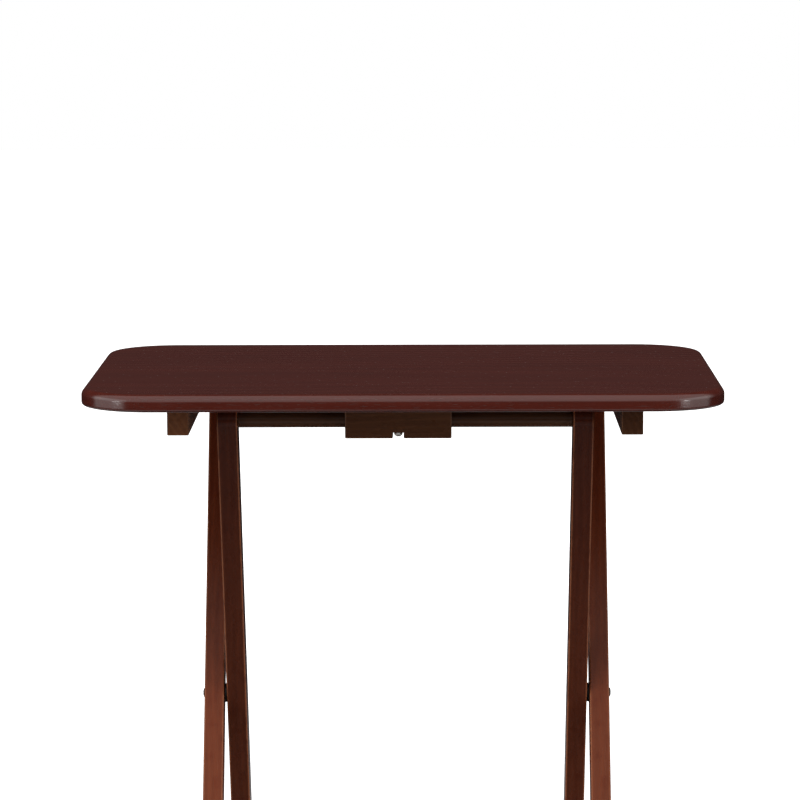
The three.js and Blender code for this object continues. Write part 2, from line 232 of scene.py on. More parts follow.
def makePlating():
    # fine turning lines with handling marks over them
    inputs = {"Place": "Vector", "Board": "Float", "Gloss": "Float"}
    tree, given, made = newGroup("platedMetal", inputs, ["Tarnish", "Roughness", "Height"])
    shift = vectorMaths(tree, "SCALE", (0.7, 0.9, 1.3))
    feed(tree, shift.node.inputs["Scale"], given["Board"])
    place = vectorMaths(tree, "ADD", given["Place"], shift)
    lines = noise(tree, place, (9000, 500, 500), detail=2)
    marks = noise(tree, place, (420, 420, 420), detail=5, roughness=0.7)
    tarnish = spread(tree, noise(tree, place, (150, 150, 150), detail=4), 0.42, 0.68)
    feed(tree, made["Tarnish"], tarnish)
    dull = maths(tree, "ADD", given["Gloss"], maths(tree, "MULTIPLY", marks, 0.2))
    feed(tree, made["Roughness"], maths(tree, "ADD", dull, maths(tree, "MULTIPLY", tarnish, 0.12)))
    feed(tree, made["Height"], maths(tree, "ADD", lines, maths(tree, "MULTIPLY", marks, 0.6)))
    return tree


grainGroup = makeGrain()
edgeWearHighlightGroup = makeEdgeWearHighlight()
lacquerGroup = makeLacquer()
platingGroup = makePlating()


# finishes

def pieceValue(tree, name):
    return addNode(tree, "ShaderNodeAttribute", attribute_type="OBJECT", attribute_name=name).outputs["Fac"]


def startMaterial(name):
    material = bpy.data.materials.new(name)
    material.use_nodes = True
    tree = material.node_tree
    tree.nodes.clear()
    surface = tree.nodes.new("ShaderNodeBsdfPrincipled")
    tree.links.new(surface.outputs[0], tree.nodes.new("ShaderNodeOutputMaterial").inputs["Surface"])
    place = addNode(tree, "ShaderNodeTexCoord").outputs["Object"]
    own = pieceValue(tree, "board")
    edge = addNode(tree, "ShaderNodeAttribute", attribute_name="edge").outputs["Fac"]
    return material, tree, surface, place, own, edge


def addBump(tree, surface, height, distance, strength):
    bump = addNode(tree, "ShaderNodeBump")
    feed(tree, bump.inputs["Height"], height)
    feed(tree, bump.inputs["Distance"], distance)
    feed(tree, bump.inputs["Strength"], strength)
    feed(tree, surface.inputs["Normal"], bump.outputs["Normal"])


def makeWood(name, look):
    material, tree, surface, place, own, edge = startMaterial(name)
    grain = useGroup(tree, grainGroup, Place=place, Board=own,
                     Fineness=look["fineness"], RingGap=look["ringGap"])
    edgeWornAndHighlit = useGroup(tree, edgeWearHighlightGroup, Place=place, Edge=edge, Reach=look["edgeWearHighlightReach"])["Rubbed"]
    figure = maths(tree, "MULTIPLY", grain["Streaks"], look["streaks"])
    figure = maths(tree, "ADD", figure, maths(tree, "MULTIPLY", grain["Rings"], look["rings"]))
    blotches = maths(tree, "MULTIPLY", grain["Blotches"], look["blotches"])
    figure = maths(tree, "ADD", figure, blotches, clamp=True)
    stain = vectorMaths(tree, "SCALE", mixColour(tree, figure, look["dark"], look["light"]))
    # the stain is scaled by the piece's painted light and shade
    feed(tree, stain.node.inputs["Scale"], pieceValue(tree, "tone"))
    filled = maths(tree, "MULTIPLY", grain["Pores"], look["pores"])
    stain = mixColour(tree, filled, stain, look["poreColour"])
    # eased edges lightened: partly wear, partly a painted highlight
    wearAndHighlightAmount = maths(tree, "MULTIPLY", edgeWornAndHighlit, look["rub"])
    stain = mixColour(tree, wearAndHighlightAmount, stain, look["edgeWearHighlightColour"])
    feed(tree, surface.inputs["Base Color"], stain)
    film = useGroup(tree, lacquerGroup, Place=place, Gloss=look["gloss"], Pores=grain["Pores"],
                    Streaks=grain["Streaks"], Rubbed=edgeWornAndHighlit)
    feed(tree, surface.inputs["Roughness"], film["Roughness"])
    addBump(tree, surface, film["Height"], look["relief"], 0.6)
    surface.inputs["Specular IOR Level"].default_value = look["shine"]
    return material


def makeMetal(name, look):
    material, tree, surface, place, own, edge = startMaterial(name)
    plated = useGroup(tree, platingGroup, Place=place, Board=own, Gloss=look["gloss"])
    edgeWornAndHighlit = useGroup(tree, edgeWearHighlightGroup, Place=place, Edge=edge, Reach=look["edgeWearHighlightReach"])["Rubbed"]
    colour = mixColour(tree, plated["Tarnish"], look["clean"], look["tarnished"])
    feed(tree, surface.inputs["Base Color"], mixColour(tree, edgeWornAndHighlit, colour, look["edgeWearHighlightColour"]))
    feed(tree, surface.inputs["Roughness"], plated["Roughness"])
    surface.inputs["Metallic"].default_value = look["metallic"]
    addBump(tree, surface, plated["Height"], look["relief"], 0.5)
    return material


trayStain = {
    "dark": (0.072, 0.0098, 0.0055),
    "light": (0.103, 0.0165, 0.0095),
    "poreColour": (0.02, 0.004, 0.002),
    "edgeWearHighlightColour": (0.3, 0.085, 0.045),
    "streaks": 0.4,
    "rings": 0.3,
    "blotches": 0.3,
    "pores": 0.6,
    "rub": 0.8,
    "edgeWearHighlightReach": 0.75,
    "fineness": 1.0,
    "ringGap": 0.013,
    "gloss": 0.13,
    "shine": 0.88,
    "relief": 0.00003,
}
legStain = dict(
    trayStain,
    dark=(0.125, 0.0185, 0.006),
    light=(0.23, 0.043, 0.0145),
    edgeWearHighlightColour=(0.34, 0.115, 0.05),
    ringGap=0.0055,
    gloss=0.22,
    shine=0.2,
    edgeWearHighlightReach=0.8,
)
railStain = dict(
    legStain,
    dark=(0.055, 0.019, 0.0085),
    light=(0.1, 0.04, 0.018),
    edgeWearHighlightColour=(0.2, 0.085, 0.04),
)
barStain = dict(railStain, gloss=0.12, shine=0.22)
bareBeech = dict(
    trayStain,
    dark=(0.36, 0.2, 0.085),
    light=(0.55, 0.35, 0.17),
    poreColour=(0.22, 0.11, 0.045),
    edgeWearHighlightColour=(0.6, 0.4, 0.22),
    ringGap=0.002,
    gloss=0.62,
    shine=0.3,
    relief=0.00015,
)
zincLook = {
    "clean": (0.86, 0.81, 0.76),
    "tarnished": (0.6, 0.56, 0.52),
    "edgeWearHighlightColour": (0.93, 0.9, 0.86),
    "edgeWearHighlightReach": 0.6,
    "gloss": 0.24,
    "metallic": 1.0,
    "relief": 0.00003,
}
bronzeLook = dict(
    zincLook,
    clean=(0.06, 0.044, 0.036),
    tarnished=(0.03, 0.023, 0.02),
    edgeWearHighlightColour=(0.2, 0.16, 0.13),
    gloss=0.3,
)
nylonLook = dict(
    zincLook,
    clean=(0.013, 0.012, 0.012),
    tarnished=(0.02, 0.019, 0.018),
    edgeWearHighlightColour=(0.035, 0.033, 0.032),
    gloss=0.42,
    metallic=0.0,
    relief=0.00006,
)
finishes = {
    "tray_wood": makeWood("trayStain", trayStain),
    "frame_wood": makeWood("legStain", legStain),
    "rail_wood": makeWood("railStain", railStain),
    "bar_wood": makeWood("barStain", barStain),
    "pin_wood": makeWood("bareBeech", bareBeech),
    "steel": makeMetal("zincPlate", zincLook),
    "dark_steel": makeMetal("darkBronze", bronzeLook),
    "nylon": makeMetal("blackNylon", nylonLook),
}
print("finishes ready:", len(finishes))


# mesh helpers, in metres, in each piece's own frame

def loft(rings, closed=False):
    shape = bmesh.new()
    loops = [[shape.verts.new(point) for point in ring] for ring in rings]
    count = len(loops[0])
    for near, far in zip(loops, loops[1:] + (loops[:1] if closed else [])):
        for index in range(count):
            after = (index + 1) % count
            shape.faces.new((near[index], near[after], far[after], far[index]))
    if not closed:
        shape.faces.new(loops[0])
        shape.faces.new(loops[-1])
    bmesh.ops.recalc_face_normals(shape, faces=shape.faces)
    return shape


def turned(rows, steps, closed=False):
    # rows are (distance along X, radius), where the radius may be a function of the angle
    rings = []
    for along, radius in rows:
        ring = []
        for step in range(steps):
            angle = 2 * math.pi * step / steps
            reach = radius(angle) if callable(radius) else radius
            ring.append((along, reach * math.cos(angle), reach * math.sin(angle)))
        rings.append(ring)
    return loft(rings, closed)


def sawn(outline, thickness, easing, across="Z", ease=None, steps=4):
    # an outline with the given thickness, all its sharp edges rounded over
    shape = bmesh.new()
    corners = []
    for level in (-thickness / 2, thickness / 2):
        spots = [(u, v, level) if across == "Z" else (level, u, v) for u, v in outline]
        corners.append([shape.verts.new(spot) for spot in spots])
    low, high = corners
    for index in range(len(low)):
        after = (index + 1) % len(low)
        shape.faces.new((low[index], low[after], high[after], high[index]))
    shape.faces.new(low)
    shape.faces.new(high)
    bmesh.ops.recalc_face_normals(shape, faces=shape.faces)
    sharp = [edge for edge in shape.edges if edge.calc_face_angle() > math.radians(30)]
    if ease:
        sharp = [edge for edge in sharp if ease(edge)]
    bmesh.ops.bevel(shape, geom=sharp, offset=easing, segments=steps, profile=0.5, affect="EDGES")
    return shape


def meshOf(shape, name):
    mesh = bpy.data.meshes.new(name)
    shape.to_mesh(mesh)
    shape.free()
    return mesh


def pointing(at, direction):
    turn = Vector(direction).to_track_quat("X", "Z").to_matrix().to_4x4()
    return Matrix.Translation(at) @ turn


def carve(mesh, cutters):
    # cutters are (shape, place) pairs that don't meet one another
    joined = bmesh.new()
    for shape, place in cutters:
        shape.transform(place)
        part = meshOf(shape, "cutter")
        joined.from_mesh(part)
        bpy.data.meshes.remove(part)
    tool = bpy.data.objects.new("cutter", meshOf(joined, "cutter"))
    block = bpy.data.objects.new("block", mesh)
    for piece in (tool, block):
        scene.collection.objects.link(piece)
    cut = block.modifiers.new("cut", "BOOLEAN")
    cut.object = tool
    cut.operation = "DIFFERENCE"
    cut.solver = "EXACT"
    found = bpy.context.evaluated_depsgraph_get()
    carved = bpy.data.meshes.new_from_object(block.evaluated_get(found))
    carved.name = mesh.name
    bpy.data.objects.remove(block)
    bpy.data.objects.remove(tool)
    return carved


def markEdges(mesh):
    # 1 on rounded-over edges, 0 on flats, round stock and hole rims
    shape = bmesh.new()
    shape.from_mesh(mesh)
    shape.normal_update()
    low, high, rim = math.radians(12), math.radians(20), math.radians(50)
    values = []
    for vertex in shape.verts:
        bends = [edge.calc_face_angle_signed(0.0) for edge in vertex.link_edges]
        most = max(bends, default=0.0)
        deep = min(bends, default=0.0)
        flat = most > rim or deep < -low
        values.append(0.0 if flat else min(1.0, max(0.0, (most - low) / (high - low))))
    shape.free()
    attribute = mesh.attributes.new("edge", "FLOAT", "POINT")
    attribute.data.foreach_set("value", values)


def dressMesh(mesh, finish, crease=30):
    mesh.polygons.foreach_set("use_smooth", [True] * len(mesh.polygons))
    mesh.set_sharp_from_angle(angle=math.radians(crease))
    markEdges(mesh)
    mesh.materials.clear()
    mesh.materials.append(finishes[finish])
    return mesh


boards = []
grainStep = 0.618034  # spreads the pieces evenly through the grain
paintedLightTones = {  # painted light and shade: how far each piece's stain is darkened or lightened for how the studio's light falls on it; the inner legs are darkened as painted shade, the battens, latch and bar lightened as painted light
    "battenLeft": 2.7,
    "battenRight": 1.35,
    "latchBlock": 1.4,
    "crossBar": 1.05,
    "outerLegLeft": 0.8,
    "outerLegRight": 0.77,
    "innerLegLeft": 0.41,
    "innerLegRight": 0.43,
}


def addPiece(name, mesh, place, node):
    piece = bpy.data.objects.new(name, mesh)
    scene.collection.objects.link(piece)
    piece.matrix_world = place
    weigh = piece.modifiers.new("evenShading", "WEIGHTED_NORMAL")
    weigh.keep_sharp = True
    weigh.weight = 100
    boards.append(name)
    piece["board"] = (len(boards) * grainStep) % 1.0
    # painted light and shade, carried by the piece into its stain
    piece["tone"] = paintedLightTones.get(name, 1.0)
    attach(piece, bodyOf[node])
    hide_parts(node)
    return piece


bodyOf = {
    node: body
    for body, nodes in frame["record"]["behaviour"]["bodies"].items()
    for node in nodes
}


# tray

tray = {
    "cornerRadius": 65 * mm,
    "roundOver": 6.5 * mm,  # upper edge
    "lowerBreak": 3 * mm,
    "cornerSteps": 24,
    "edgeSteps": 8,
    "screwHole": 2.4 * mm,
}


def roundedOutline(width, depth, radius, steps):
    points = []
    for quarter, (x, y) in enumerate(((1, 1), (-1, 1), (-1, -1), (1, -1))):
        for step in range(steps + 1):
            angle = math.pi / 2 * (quarter + step / steps)
            across = x * (width / 2 - radius) + radius * math.cos(angle)
            along = y * (depth / 2 - radius) + radius * math.sin(angle)
            points.append((across, along))
    return points


def makeTray(values):
    size = extent("tray")
    centre = middle("tray")
    levels = []  # (inset, height) from the lower face to the upper
    edges = ((values["lowerBreak"], -size.z / 2, -1), (values["roundOver"], size.z / 2, 1))
    for radius, base, sign in edges:
        for step in range(values["edgeSteps"] + 1):
            angle = math.pi / 2 * step / values["edgeSteps"]
            if sign < 0:
                angle = math.pi / 2 - angle
            levels.append((radius * (1 - math.cos(angle)), base - sign * radius * (1 - math.sin(angle))))
    rings = []
    for inset, height in levels:
        shrunk = (size.x - 2 * inset, size.y - 2 * inset, values["cornerRadius"] - inset)
        outline = roundedOutline(*shrunk, values["cornerSteps"])
        rings.append([(x, y, height) for x, y in outline])
    mesh = meshOf(loft(rings), "trayBoard")
    cutters = []
    screws = [node for node in frame["nodes"] if node.startswith(("batten_screw", "latch_screw"))]
    for node in sorted(screws):
        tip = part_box(node)[1]
        spot = middle(node) - centre
        depth = tip.z - centre.z + size.z / 2 + mm
        bore = turned([(-mm, values["screwHole"]), (depth, values["screwHole"])], 24)
        cutters.append((bore, pointing((spot.x, spot.y, -size.z / 2), (0, 0, 1))))
    mesh = dressMesh(carve(mesh, cutters), "tray_wood")
    addPiece("trayBoard", mesh, Matrix.Translation(centre), "tray")


makeTray(tray)
print("tray ready")


# holes for screws, bolts, inserts and pins

holes = {
    "slack": 0.3 * mm,  # round piece to its hole
    "spare": 1 * mm,  # blind hole past the tip
    "steps": 32,
}
flatScrew = {
    "headRadius": 4.1 * mm,
    "rim": 0.4 * mm,
    "headDepth": 2.6 * mm,
    "shank": 2.1 * mm,
    "core": 1.5 * mm,
    "pitch": 1.9 * mm,
    "plain": 8 * mm,  # head and smooth shank
    "tip": 4 * mm,
    "recess": 4.4 * mm,
    "recessArm": 1.1 * mm,
    "recessDepth": 1.5 * mm,
}
latchScrew = dict(flatScrew, headRadius=4 * mm, headDepth=4.4 * mm, plain=14 * mm, domed=True)
scissorBolt = dict(
    flatScrew,
    headRadius=4.4 * mm,
    headDepth=1.8 * mm,
    shank=3 * mm,
    core=2.6 * mm,
    pitch=1 * mm,
    plain=22 * mm,
    tip=1 * mm,
    recess=5 * mm,
    recessDepth=1.2 * mm,
    domed=True,
)
hingeBolt = dict(scissorBolt, headRadius=5.6 * mm, headDepth=3 * mm, recessDepth=1.8 * mm, domed=False)
screwShape = {
    "steps": 24,
    "domeSteps": 10,
    "domeHeight": 0.85,  # of the head's depth
    "rimBreak": 0.4,  # of the rim
    "threadSteps": 8,  # rows to a turn
    "ridgeHalf": 0.3,  # of the pitch
    "blunt": 0.08,  # what is left of the radius at the tip
}
insertSize = {
    "radius": 5.2 * mm,
    "bore": 3.3 * mm,
    "knurl": 0.35 * mm,
    "knurls": 20,
    "knurlRows": 16,
    "plainEnd": 1.2 * mm,
    "steps": 80,
}
washerSize = {"bore": 3.3 * mm, "edge": 0.5 * mm}
pinSize = {"radius": 4 * mm, "flutes": 16, "fluteDepth": 0.28 * mm, "chamfer": 0.9 * mm}


def bore(radius, depth):
    wide = radius + holes["slack"]
    return turned([(-mm, wide), (depth + holes["spare"], wide)], holes["steps"])


def screwBore(screw, depth, above=1 * mm):
    wide = screw["headRadius"] + holes["slack"]
    narrow = screw["shank"] + holes["slack"]
    rows = [(-above, wide), (screw["rim"], wide)]
    rows += [(screw["headDepth"], narrow), (depth + holes["spare"], narrow)]
    return turned(rows, holes["steps"])


def crossRecess(screw):
    half, arm = screw["recess"] / 2, screw["recessArm"] / 2
    plus = [(half, arm), (arm, arm), (arm, half), (-arm, half), (-arm, arm), (-half, arm),
            (-half, -arm), (-arm, -arm), (-arm, -half), (arm, -half), (arm, -arm), (half, -arm)]
    rings = []
    for depth, scale in ((-0.4 * mm, 1.1), (screw["recessDepth"], 0.55)):
        rings.append([(depth, u * scale, v * scale) for u, v in plus])
    return loft(rings)


def screwMesh(screw, length, name, finish):
    rows = []
    if screw.get("domed"):
        for step in range(1, screwShape["domeSteps"] + 1):
            angle = math.pi / 2 * step / screwShape["domeSteps"]
            across = screw["headRadius"] * math.sin(angle)
            rows.append((screw["headDepth"] * screwShape["domeHeight"] * (1 - math.cos(angle)), across))
        rows.append((screw["headDepth"], screw["headRadius"]))
        rows.append((screw["headDepth"], screw["shank"]))
    else:
        broken = screwShape["rimBreak"] * screw["rim"]
        rows = [(0.0, screw["headRadius"] - broken), (broken, screw["headRadius"])]
        rows += [(screw["rim"], screw["headRadius"]), (screw["headDepth"], screw["shank"])]
    rows.append((screw["plain"], screw["shank"]))
    threadSteps, blunt = screwShape["threadSteps"], screwShape["blunt"]
    count = round((length - screw["plain"]) / screw["pitch"] * threadSteps)
    for step in range(1, count + 1):
        along = screw["plain"] + (length - screw["plain"]) * step / count
        narrowing = min(1.0, (length - along) / screw["tip"] * (1 - blunt) + blunt)
        start = min(1.0, step / threadSteps)

        def ridge(angle, along=along, narrowing=narrowing, start=start):
            phase = (along / screw["pitch"] - angle / (2 * math.pi)) % 1.0
            height = max(0.0, 1 - abs(phase - 0.5) / screwShape["ridgeHalf"])
            return narrowing * (screw["core"] + (screw["shank"] - screw["core"]) * height * start)

        rows.append((along, ridge))
    mesh = meshOf(turned(rows, screwShape["steps"]), name)
    return dressMesh(carve(mesh, [(crossRecess(screw), Matrix.Identity(4))]), finish, 50)


def camel(node):
    words = node.split("_")
    return words[0] + "".join(word.title() for word in words[1:])


def headFirst(node, direction):
    # the box face where the piece starts, with its own X pointing along it
    direction = Vector(direction)
    half = abs(extent(node).dot(direction)) / 2
    return pointing(middle(node) - direction * half, direction)


def lengthAlong(node, direction):
    return abs(extent(node).dot(Vector(direction)))


# battens

batten = {"easing": 1.1 * mm, "counterbore": 6 * mm}


def rectangleOutline(width, height):
    across, up = width / 2, height / 2
    return [(-across, -up), (across, -up), (across, up), (-across, up)]


def makeBatten(side, values):
    node = f"batten_{side}"
    sign = sides[side]
    size = extent(node)
    centre = middle(node)
    # own X runs along the batten, own Z across it
    place = Matrix.Translation(centre) @ Matrix(((0, 0, 1, 0), (1, 0, 0, 0), (0, 1, 0, 0), (0, 0, 0, 1)))
    shape = sawn(rectangleOutline(size.y, size.z), size.x, values["easing"])
    cutters = []
    for row in ("front", "middle", "rear"):
        screw = f"batten_screw_{side}_{row}"
        spot = place.inverted() @ headFirst(screw, (0, 0, 1))
        cutters.append((screwBore(flatScrew, size.z, values["counterbore"] + 2 * mm), spot))
    spot = place.inverted() @ headFirst(f"hinge_insert_{side}", (sign, 0, 0))
    cutters.append((bore(insertSize["radius"], lengthAlong(f"hinge_insert_{side}", (1, 0, 0))), spot))
    mesh = dressMesh(carve(meshOf(shape, node), cutters), "rail_wood")
    addPiece(f"batten{side.title()}", mesh, place, node)


for side in sides:
    makeBatten(side, batten)
print("battens ready")


# legs

leg = {
    "width": 28 * mm,
    "easing": 1.6 * mm,
    "topSteps": 32,
    "tenonDepth": 12 * mm,
    "tenonRadius": 5.5 * mm,
}


def legFrame(turn, x=0.0):
    # own X runs up the leg, own Y to the front, own Z to the right
    rise = Vector((0, math.sin(turn), math.cos(turn)))
    across = Vector((1, 0, 0))
    forward = across.cross(rise)
    basis = Matrix((rise, forward, across)).transposed().to_4x4()
    return Matrix.Translation((x, scissor.y, scissor.z)) @ basis


def legOutline(turn, values):
    half = values["width"] / 2

    def foot(forward):
        # level with the floor once the leg leans; its forward axis drops by sin(turn)
        return -(scissor.z + forward * legFrame(turn).col[1].z) / math.cos(turn)

    points = [(foot(-half), -half), (foot(half), half)]
    for step in range(values["topSteps"] + 1):
        angle = math.pi / 2 - math.pi * step / values["topSteps"]
        points.append((reachUp + half * math.cos(angle), half * math.sin(angle)))
    return points


def makeLeg(kind, side, turn, values):
    node = f"{kind}_leg_{side}"
    sign = sides[side]
    size = extent(node)
    place = legFrame(turn, middle(node).x)
    shape = sawn(legOutline(turn, values), size.x, values["easing"])
    inward = (-sign, 0, 0)
    outward = (sign, 0, 0)
    toward = place.inverted()
    stretcherScrew = f"{kind}_stretcher_screw_{side}"
    cutters = [(screwBore(flatScrew, size.x), toward @ headFirst(stretcherScrew, inward))]
    pinSpot = middle(f"{kind}_stretcher_pin_{side}")
    pinDepth = lengthAlong(f"{kind}_stretcher_pin_{side}", inward)
    inFace = middle(node).x - sign * size.x / 2
    outFace = middle(node).x + sign * size.x / 2
    inLeg = abs(pinSpot.x + sign * pinDepth / 2 - inFace)
    cutters.append((bore(pinSize["radius"], inLeg),
                    toward @ pointing((inFace, pinSpot.y, pinSpot.z), outward)))
    if kind == "outer":
        cutters.append((bore(scissorBolt["shank"], size.x),
                        toward @ pointing((inFace, scissor.y, scissor.z), outward)))
        cutters.append((screwBore(hingeBolt, size.x), toward @ headFirst(f"hinge_bolt_{side}", outward)))
    else:
        bar = middle("crossbar")
        cutters.append((bore(values["tenonRadius"], values["tenonDepth"]),
                        toward @ pointing((inFace, bar.y, bar.z), outward)))
        insertDepth = lengthAlong(f"scissor_insert_{side}", inward)
        cutters.append((bore(insertSize["radius"], insertDepth),
                        toward @ pointing((outFace, scissor.y, scissor.z), inward)))
    mesh = dressMesh(carve(meshOf(shape, node), cutters), "frame_wood")
    addPiece(f"{kind}Leg{side.title()}", mesh, place, node)


turns = {"outer": lean, "inner": -lean}
for kind, turn in turns.items():
    for side in sides:
        makeLeg(kind, side, turn, leg)
print("legs ready")


# cross members

stretcher = {"height": 34 * mm, "thickness": 12 * mm, "easing": 2 * mm}
crossbar = {
    "radius": 8 * mm,
    "tenon": 5.5 * mm,
    "tenonLength": 12 * mm,
    "easing": 0.7 * mm,
    "easeSteps": 4,
    "steps": 72,
}


def makeStretcher(kind, turn, values):
    node = f"{kind}_stretcher"
    length = extent(node).x
    rise = Vector((0, math.sin(turn), math.cos(turn)))
    across = Vector((1, 0, 0))
    basis = Matrix((across, rise.cross(across), rise)).transposed().to_4x4()
    place = Matrix.Translation(middle(node)) @ basis
    shape = sawn(rectangleOutline(values["thickness"], values["height"]), length, values["easing"], "X",
                 ease=lambda edge: abs((edge.verts[0].co - edge.verts[1].co).x) > length / 2)
    toward = place.inverted()
    cutters = []
    for side, sign in sides.items():
        face = middle(node).x + sign * length / 2
        for part, radius in (("screw", flatScrew["shank"]), ("pin", pinSize["radius"])):
            name = f"{node}_{part}_{side}"
            spot = middle(name)
            depth = abs(face - (spot.x - sign * extent(name).x / 2))
            cutters.append((bore(radius, depth), toward @ pointing((face, spot.y, spot.z), (-sign, 0, 0))))
    mesh = dressMesh(carve(meshOf(shape, node), cutters), "frame_wood")
    addPiece(f"{kind}Stretcher", mesh, place, node)


def makeCrossbar(values):
    length = extent("crossbar").x
    radius, tenon, ease = values["radius"], values["tenon"], values["easing"]
    shoulder = length / 2 - values["tenonLength"]
    half = [(length / 2, tenon - ease), (length / 2 - ease, tenon)]
    half += [(shoulder, tenon), (shoulder, radius - ease)]
    for step in range(1, values["easeSteps"] + 1):
        angle = math.pi / 2 * step / values["easeSteps"]
        half.append((shoulder - ease * (1 - math.cos(angle)), radius - ease * (1 - math.sin(angle))))
    rows = [(-along, across) for along, across in half] + list(reversed(half))
    mesh = dressMesh(meshOf(turned(rows, values["steps"]), "crossbar"), "bar_wood")
    addPiece("crossBar", mesh, Matrix.Translation(middle("crossbar")), "crossbar")


for kind, turn in turns.items():
    makeStretcher(kind, turn, stretcher)
makeCrossbar(crossbar)
print("cross members ready")


# latch block, with the groove that the cross bar rests in

latch = {
    "easing": 1.2 * mm,
    "groove": 8.6 * mm,
    "grooveSteps": 24,
    "notchWidth": 9.6 * mm,
    "notchDepth": 5.4 * mm,
    "notchCorner": 1 * mm,
}


def makeLatch(values):
    size = extent("latch_block")
    centre = middle("latch_block")
    bar = middle("crossbar") - centre
    front, rear = -size.y / 2, size.y / 2
    bottom, top = -size.z / 2, size.z / 2
    groove = values["groove"]
    outline = [(front, bottom), (rear, bottom), (rear, bar.z - groove)]
    for step in range(values["grooveSteps"] + 1):
        angle = -math.pi / 2 - math.pi * step / values["grooveSteps"]
        outline.append((bar.y + groove * math.cos(angle), bar.z + groove * math.sin(angle)))
    outline += [(rear, bar.z + groove), (rear, top), (front, top)]
    shape = sawn(outline, size.x, values["easing"], "X")
    half, depth = values["notchWidth"] / 2, values["notchDepth"]
    corner = values["notchCorner"]
    notch = [(-half - corner, bottom - mm), (half + corner, bottom - mm), (half + corner, bottom),
             (half, bottom + corner), (half, bottom + depth), (-half, bottom + depth),
             (-half, bottom + corner), (-half - corner, bottom)]
    rings = [[(x, y, z) for x, z in notch] for y in (front - mm, rear + mm)]
    spot = Matrix.Translation(-centre) @ headFirst("latch_screw", (0, 0, 1))
    mesh = carve(meshOf(shape, "latchBlock"), [(loft(rings), Matrix.Identity(4))])
    mesh = dressMesh(carve(mesh, [(bore(latchScrew["shank"], size.z), spot)]), "rail_wood")
    addPiece("latchBlock", mesh, Matrix.Translation(centre), "latch_block")


makeLatch(latch)
print("latch block ready")


# screws and bolts

def addScrews(screw, finish, spots):
    meshes = {}
    for node, direction in spots:
        length = round(lengthAlong(node, direction), 5)
        if length not in meshes:
            meshes[length] = screwMesh(screw, length, node, finish)
        addPiece(camel(node), meshes[length], headFirst(node, direction), node)


upward = (0, 0, 1)
battenScrews = [
    (f"batten_screw_{side}_{row}", upward) for side in sides for row in ("front", "middle", "rear")
]
stretcherScrews = [
    (f"{kind}_stretcher_screw_{side}", (-sign, 0, 0)) for kind in turns for side, sign in sides.items()
]
scissorBolts = [(f"scissor_bolt_{side}", (-sign, 0, 0)) for side, sign in sides.items()]
hingeBolts = [(f"hinge_bolt_{side}", (sign, 0, 0)) for side, sign in sides.items()]
addScrews(flatScrew, "steel", battenScrews + stretcherScrews)
addScrews(latchScrew, "steel", [("latch_screw", upward)])
addScrews(scissorBolt, "dark_steel", scissorBolts)
addScrews(hingeBolt, "dark_steel", hingeBolts)
print("screws and bolts ready")


# washers, inserts and pins

def makeWasher(node):
    thick = extent(node).x
    outer = extent(node).z / 2
    inner, edge = washerSize["bore"], washerSize["edge"]
    corner = edge * 0.3
    rows = [(0, inner), (0, outer - edge), (corner, outer - corner), (edge, outer), (thick - edge, outer),
            (thick - corner, outer - corner), (thick, outer - edge), (thick, inner)]
    mesh = dressMesh(meshOf(turned(rows, 64, closed=True), node), "nylon", 50)
    addPiece(camel(node), mesh, headFirst(node, (1, 0, 0)), node)


def makeInsert(node, direction):
    length = extent(node).x
    values = insertSize
    rows = [(0, values["bore"]), (0, values["radius"])]
    plain, count = values["plainEnd"], values["knurlRows"]
    for step in range(count + 1):
        along = plain + (length - 2 * plain) * step / count

        def knurled(angle, along=along):
            twist = along / values["radius"]
            first = math.cos(values["knurls"] * (angle + twist) / 2)
            second = math.cos(values["knurls"] * (angle - twist) / 2)
            return values["radius"] - values["knurl"] * (1 - max(abs(first), abs(second)))

        rows.append((along, knurled))
    rows += [(length, values["radius"] - values["knurl"]), (length, values["bore"])]
    mesh = dressMesh(meshOf(turned(rows, values["steps"], closed=True), node), "steel", 50)
    addPiece(camel(node), mesh, headFirst(node, direction), node)


def makePin(node, direction):
    length = extent(node).x
    values = pinSize

    def fluted(angle):
        return values["radius"] - values["fluteDepth"] * (0.5 + 0.5 * math.cos(values["flutes"] * angle)) ** 2

    chamfer = values["chamfer"]
    rows = [(0, values["radius"] - chamfer), (chamfer, fluted), (length - chamfer, fluted)]
    rows.append((length, values["radius"] - chamfer))
    mesh = dressMesh(meshOf(turned(rows, 96), node), "pin_wood", 50)
    addPiece(camel(node), mesh, headFirst(node, direction), node)


for side, sign in sides.items():
    makeWasher(f"hinge_washer_{side}")
    makeWasher(f"scissor_washer_{side}")
    makeInsert(f"hinge_insert_{side}", (sign, 0, 0))
    makeInsert(f"scissor_insert_{side}", (-sign, 0, 0))
    for kind in turns:
        makePin(f"{kind}_stretcher_pin_{side}", (-sign, 0, 0))
print("washers, inserts and pins ready")


# studio

